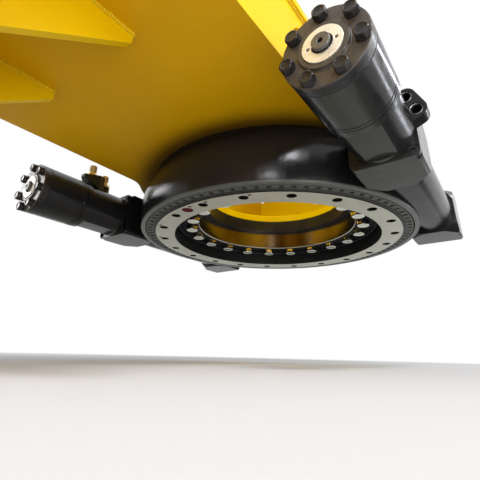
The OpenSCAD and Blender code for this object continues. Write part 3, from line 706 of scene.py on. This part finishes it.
def boltMesh(name, sizes):  # the head points up, its seat is at zero and the shank goes down
    flat = sizes["across"] / 2
    end = -sizes["shankLength"]
    washer = sizes["washer"]
    head = sizes["head"]
    dish = head - sizes["dish"]
    rings = [(0.0, end), (sizes["shank"], end), (sizes["shank"], 0.0)]
    if washer:
        rings += [(flat * hexShape["washer"], 0.0), (flat * hexShape["washer"], washer)]
    rings += hexRings(sizes["across"], washer, head)
    rings += [(hexShape["dishEdge"] * flat, head), (hexShape["dishFloor"] * flat, dish), (0.0, dish)]
    return turnedMesh(name, rings)


def smoothBut(mesh, degrees):  # smooth shading with the edges above an angle kept sharp
    mesh.shade_smooth()
    mesh.set_sharp_from_angle(angle=math.radians(degrees))
    return mesh


def turned(mesh, about, degrees):
    mesh.transform(Matrix.Rotation(math.radians(degrees), 4, about))
    return mesh


def joined(name, meshes):  # one mesh out of several
    shape = bmesh.new()
    for mesh in meshes:
        shape.from_mesh(mesh)
    whole = bpy.data.meshes.new(name)
    shape.to_mesh(whole)
    shape.free()
    return whole


# Copies round a circle, by Geometry Nodes


def nodeGroup(name, inputs):  # an empty geometry group with named inputs, and its input sockets as wires
    tree = bpy.data.node_groups.new(name, "GeometryNodeTree")
    tree.interface.new_socket("Geometry", in_out="INPUT", socket_type="NodeSocketGeometry")
    for label, kind in inputs.items():
        tree.interface.new_socket(label, in_out="INPUT", socket_type="NodeSocket" + kind)
    tree.interface.new_socket("Geometry", in_out="OUTPUT", socket_type="NodeSocketGeometry")
    graph = Graph(tree)
    return graph, graph.node("NodeGroupInput")


def finishGroup(graph, geometry, material):
    real = graph.node("GeometryNodeRealizeInstances", None, {"Geometry": geometry})
    coated = graph.node("GeometryNodeSetMaterial", None, {"Geometry": real, "Material": material})
    graph.node("NodeGroupOutput", None, {"Geometry": coated})
    return graph.tree


def circleGroup(name, axis):  # copies of an object in a circle about X or Z, each turned with its place
    inputs = {"Pattern": "Object", "Count": "Int", "Radius": "Float", "First": "Float", "Step": "Float",
              "Centre": "Vector", "Finish": "Material"}
    graph, given = nodeGroup(name, inputs)
    index = graph.node("GeometryNodeInputIndex")
    angle = index * given.out("Step") + given.out("First")
    across = angle.cosine() * given.out("Radius")
    along = angle.sine() * given.out("Radius")
    sockets = {0: across, 1: along} if axis == "Z" else {1: across, 2: along}
    offset = graph.node("ShaderNodeCombineXYZ", None, sockets)
    place = graph.node("ShaderNodeVectorMath", {"operation": "ADD"}, {0: offset, 1: given.out("Centre")})
    points = graph.node("GeometryNodePoints", None, {"Count": given.out("Count"), "Position": place})
    pattern = graph.node("GeometryNodeObjectInfo", None, {"Object": given.out("Pattern")}).out("Geometry")
    direction = (0, 0, 1) if axis == "Z" else (1, 0, 0)
    turn = graph.node("FunctionNodeAxisAngleToRotation", None, {"Axis": direction, "Angle": angle})
    sockets = {"Points": points, "Instance": pattern, "Rotation": turn}
    copies = graph.node("GeometryNodeInstanceOnPoints", None, sockets)
    return finishGroup(graph, copies, given.out("Finish"))


circles = {"X": circleGroup("circleAboutX", "X"), "Z": circleGroup("circleAboutZ", "Z")}


def setInputs(modifier, values):
    for item in modifier.node_group.interface.items_tree:
        if item.in_out == "INPUT" and item.name in values:
            modifier[item.identifier] = values[item.name]


def meshFromNodes(name, tree, values, start=None):  # runs a tree on a fresh object, for the plain result
    piece = placed(name, start or bpy.data.meshes.new(name))
    modifier = piece.modifiers.new("make", "NODES")
    modifier.node_group = tree
    setInputs(modifier, values)
    mesh = meshFromModifiers(piece)
    mesh.name = name
    return mesh


def copiesInCircle(name, pattern, axis, count, radius, first, step, centre, material):
    source = placed(name + "_pattern", pattern)
    values = {"Pattern": source, "Count": count, "Radius": radius, "First": math.radians(first),
              "Step": math.radians(step), "Centre": centre, "Finish": material}
    mesh = meshFromNodes(name, circles[axis], values)
    bpy.data.objects.remove(source)
    return mesh


def boltCircle(name, row, axis, centre, material):  # the bolts' seats lie in the centre's plane
    bolt = turned(rounded(boltMesh("bolt", row["sizes"]), row["soft"], sharpTurned), *row["turn"])
    spread = (row["count"], row["circle"], row["first"], 360 / row["count"])
    return smoothBut(copiesInCircle(name, bolt, axis, *spread, centre, material), 25)


# Bolts that hold the inner ring, seen through the output ring

innerBolts = {
    "count": 20,
    "circle": 0.236,
    "first": 0.5,  # degrees from the arm's direction to the first bolt
    "turn": ("X", 180),
    "soft": 0.0004,
    "sizes": {"across": 0.030, "washer": 0.0, "head": 0.0125, "dish": 0.0006, "shank": 0.010},
}


def makeInnerBolts():
    low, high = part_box("inner_bolts")
    seat = low[2] + innerBolts["sizes"]["head"]
    row = dict(innerBolts, sizes=dict(innerBolts["sizes"], shankLength=high[2] - seat))
    finish = finishes["bolt_zinc"]
    circle = boltCircle("inner_bolts_made", row, "Z", (slewAxis, 0, seat), finish)
    addPiece("inner_bolts_made", circle, "arm", "white_zinc", finish, "inner_bolts")


makeInnerBolts()

# Bolts in the motors' end caps, with the washer face forged on

capBolts = {
    "count": 7,
    "circle": 0.050,
    "first": 90,
    "turn": ("Y", -90),
    "soft": 0.0005,
    "sizes": {"across": 0.018, "washer": 0.0025, "head": 0.011, "dish": 0.0008, "shank": 0.004,
              "shankLength": 0.001},
}


def makeCapBolts(side):
    node = "motor_cap_bolts_" + side
    centre = (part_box(node)[1][0], sideSign[side] * wormY, wormZ)
    finish = finishes["bolt_black"]
    circle = boltCircle(node + "_made", capBolts, "X", centre, finish)
    addPiece(node + "_made", circle, "arm", "black_paint", finish, node)


for side in sideSign:
    makeCapBolts(side)
print("bolts ready")

# Fittings in the hose ports

hoseFittings = {
    "places": [(-0.362, 0.088), (-0.322, 0.072)],  # along the arm from the steering axis, above the worm axis
    "across": 0.027,
    "collar": 0.009,
    "neck": 0.0085,
    "neckLength": 0.006,
    "relief": 0.001,
    "thread": 0.0100,
    "threadDepth": 0.0009,
    "crest": (0.4, 0.6),  # where a thread's crest starts and ends, as shares of the pitch
    "bore": 0.0060,
    "mouth": 0.0016,  # how much wider the bore opens at its end
    "mouthDepth": 0.003,
    "height": 0.034,
    "depth": 0.010,
    "turns": 6,
}


def makeFitting(name):
    f = hoseFittings
    root = f["thread"] - f["threadDepth"]
    relief = f["relief"]
    rings = [(f["bore"], -f["depth"]), (f["thread"], -f["depth"]), (f["thread"], 0.0)]
    rings += hexRings(f["across"], 0.0, f["collar"])
    rings += [(f["neck"] + relief, f["collar"]), (f["neck"], f["collar"] + relief)]
    rings += [(f["neck"], f["collar"] + f["neckLength"])]
    start = f["collar"] + f["neckLength"] + relief
    pitch = (f["height"] - relief - start) / f["turns"]
    for turn in range(f["turns"]):
        rings += [(root, start + turn * pitch)]
        rings += [(f["thread"], start + (turn + share) * pitch) for share in f["crest"]]
    rings += [(root, f["height"]), (f["bore"] + f["mouth"], f["height"])]
    rings += [(f["bore"], f["height"] - f["mouthDepth"]), (f["bore"], -f["depth"])]
    return turnedMesh(name, rings)


def makeFittings(side):
    meshes = []
    for along, above in hoseFittings["places"]:
        fitting = makeFitting("fitting")
        fitting.transform(Matrix.Translation((slewAxis + along, sideSign[side] * wormY, wormZ + above)))
        meshes.append(fitting)
    name = "hose_fittings_" + side
    addPiece(name, smoothBut(joined(name, meshes), 30), "arm", "yellow_zinc", finishes["yellow_zinc"])


# Screws in the worm covers

coverScrews = {
    "count": 6,
    "circle": 0.042,
    "first": 30,
    "turn": ("Y", 90),
    "soft": 0.0003,
    "sizes": {"across": 0.013, "washer": 0.0, "head": 0.0055, "dish": 0.0004, "shank": 0.004,
              "shankLength": 0.006},
}


def makeCoverScrews(side):
    name = "worm_cover_screws_" + side
    centre = (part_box("worm_cover_" + side)[1][0], sideSign[side] * wormY, wormZ)
    finish = finishes["bolt_black"]
    addPiece(name, boltCircle(name, coverScrews, "X", centre, finish), "arm", "black_paint", finish)


for side in sideSign:
    makeFittings(side)
    makeCoverScrews(side)
print("fittings and screws ready")

# Rusty pins beside some of the output ring's holes

pins = {
    "circle": 0.320,
    "radius": 0.0042,
    "rise": 0.0005,
    "sunk": 0.0010,
    "shoulder": 0.3,  # share of the rise at which the end starts to round off
    "crown": 0.7,  # share of the radius that stays flat
    "runs": [(129.3, 2), (175.2, 1), (183.4, 2)],  # angle of a run's first pin, and how many it has
    "pitch": 18.0,  # degrees, as the holes have
}


def makePins():
    r = pins["radius"]
    rise = pins["rise"]
    rings = [(0.0, pins["sunk"]), (r, pins["sunk"]), (r, -pins["shoulder"] * rise)]
    rings += [(pins["crown"] * r, -rise), (0.0, -rise)]
    centre = (slewAxis, 0, faceZ)
    finish = finishes["rust"]
    meshes = []
    for first, count in pins["runs"]:
        pin = smoothBut(turnedMesh("pin", rings, 20), 40)
        run = copiesInCircle("pins", pin, "Z", count, pins["circle"], first, pins["pitch"], centre, finish)
        meshes.append(run)
    addPiece("ring_pins", joined("ring_pins", meshes), "output", "dark_steel", finish)


makePins()

# Bright lips round the motors' rear ports

portLips = {
    "places": [(0.065, 0.010), (0.052, 0.038)],  # outwards from the motor's axis, and up
    "face": 0.5540,  # floor of the spot face, along the arm
    "inner": 0.0086,
    "outer": 0.0106,
    "height": 0.0016,
    "shoulder": 0.7,  # share of the height at which the lip starts to round over
    "inset": 0.0003,
}


def makePortLips(side):
    p = portLips
    shoulder = p["shoulder"] * p["height"]
    middle = (p["inner"] + p["outer"]) / 2
    rings = [(p["inner"], 0.0), (p["inner"] + p["inset"], shoulder), (middle, p["height"])]
    rings += [(p["outer"] - p["inset"], shoulder), (p["outer"], 0.0), (p["inner"], 0.0)]
    meshes = []
    for out, up in p["places"]:
        lip = turned(turnedMesh("lip", rings), "Y", -90)
        lip.transform(Matrix.Translation((p["face"], sideSign[side] * (wormY + out), wormZ + up)))
        meshes.append(lip)
    name = "port_lips_" + side
    addPiece(name, smoothBut(joined(name, meshes), 50), "arm", "dark_steel", finishes["lip_metal"])


for side in sideSign:
    makePortLips(side)
print("pins and lips ready")

# Weld beads along the arm's seams, by Geometry Nodes

weldRuns = {
    "bead": 0.0042,
    "sides": 8,
    "spacing": 0.006,
    "wobble": 0.0030,
    "grain": 70.0,
    "seed": 4.0,
    "plateSide": 0.280,  # half the bottom plate's width at the end flange
}


def beadGroup():  # a bead along each line, swollen and pinched at random with a fixed seed
    inputs = {"Bead": "Float", "Sides": "Int", "Spacing": "Float", "Wobble": "Float", "Grain": "Float",
              "Seed": "Float", "Finish": "Material"}
    graph, given = nodeGroup("weldBead", inputs)
    line = graph.node("GeometryNodeMeshToCurve", None, {"Mesh": given.out("Geometry")})
    sockets = {"Curve": line, "Length": given.out("Spacing")}
    even = graph.node("GeometryNodeResampleCurve", {"mode": "LENGTH"}, sockets)
    sockets = {"Resolution": given.out("Sides"), "Radius": given.out("Bead")}
    ring = graph.node("GeometryNodeCurvePrimitiveCircle", {"mode": "RADIUS"}, sockets)
    sockets = {"Curve": even, "Profile Curve": ring, "Fill Caps": True}
    tube = graph.node("GeometryNodeCurveToMesh", None, sockets)
    place = graph.node("GeometryNodeInputPosition")
    sockets = {"Vector": place, "Scale": given.out("Grain"), "Detail": 2.0, "W": given.out("Seed")}
    noise = graph.node("ShaderNodeTexNoise", {"noise_dimensions": "4D"}, sockets)
    normal = graph.node("GeometryNodeInputNormal")
    amount = (noise - 0.5) * given.out("Wobble")
    push = graph.node("ShaderNodeVectorMath", {"operation": "SCALE"}, {0: normal, "Scale": amount})
    moved = graph.node("GeometryNodeSetPosition", None, {"Geometry": tube, "Offset": push})
    smooth = graph.node("GeometryNodeSetShadeSmooth", None, {"Geometry": moved})
    return finishGroup(graph, smooth, given.out("Finish"))


def weldLines():
    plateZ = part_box("arm_bottom_plate")[0][2]
    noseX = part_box("arm_nose_plate")[1][0]
    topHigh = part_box("arm_top_plate")[1]
    webLow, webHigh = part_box("arm_web_left")
    flangeX = webLow[0]
    lines = []
    for sign in (1, -1):
        outer = sign * webHigh[1]
        for z in (webLow[2], webHigh[2]):
            lines.append([(flangeX, outer, z), (noseX, outer, z), (noseX, 0.0, z)])
        for x in (flangeX, noseX):
            lines.append([(x, outer, webLow[2]), (x, outer, webHigh[2])])
    for sign in (1, -1):
        lines.append([(flangeX, 0.0, plateZ), (flangeX, sign * weldRuns["plateSide"], plateZ)])
        lines.append([(flangeX, 0.0, topHigh[2]), (flangeX, sign * topHigh[1], topHigh[2])])
    for node in ("gusset_left", "gusset_right"):
        low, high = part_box(node)
        for y in (low[1], high[1]):
            lines.append([(low[0], y, high[2]), (high[0], y, high[2])])
            lines.append([(low[0], y, low[2]), (low[0], y, high[2])])
        lines.append([(high[0], low[1], high[2]), (high[0], high[1], high[2])])
    return lines


def makeWelds():
    corners = []
    edges = []
    for line in weldLines():
        for first, second in zip(line, line[1:]):
            edges.append((len(corners), len(corners) + 1))
            corners += [first, second]
    path = bpy.data.meshes.new("weldPath")
    path.from_pydata(corners, edges, [])
    values = {"Bead": weldRuns["bead"], "Sides": weldRuns["sides"], "Spacing": weldRuns["spacing"],
              "Wobble": weldRuns["wobble"], "Grain": weldRuns["grain"], "Seed": weldRuns["seed"],
              "Finish": finishes["weld"]}
    beads = meshFromNodes("arm_welds", beadGroup(), values, path)
    addPiece("arm_welds", beads, "arm", "yellow_paint", finishes["weld"])


makeWelds()
print("welds ready")
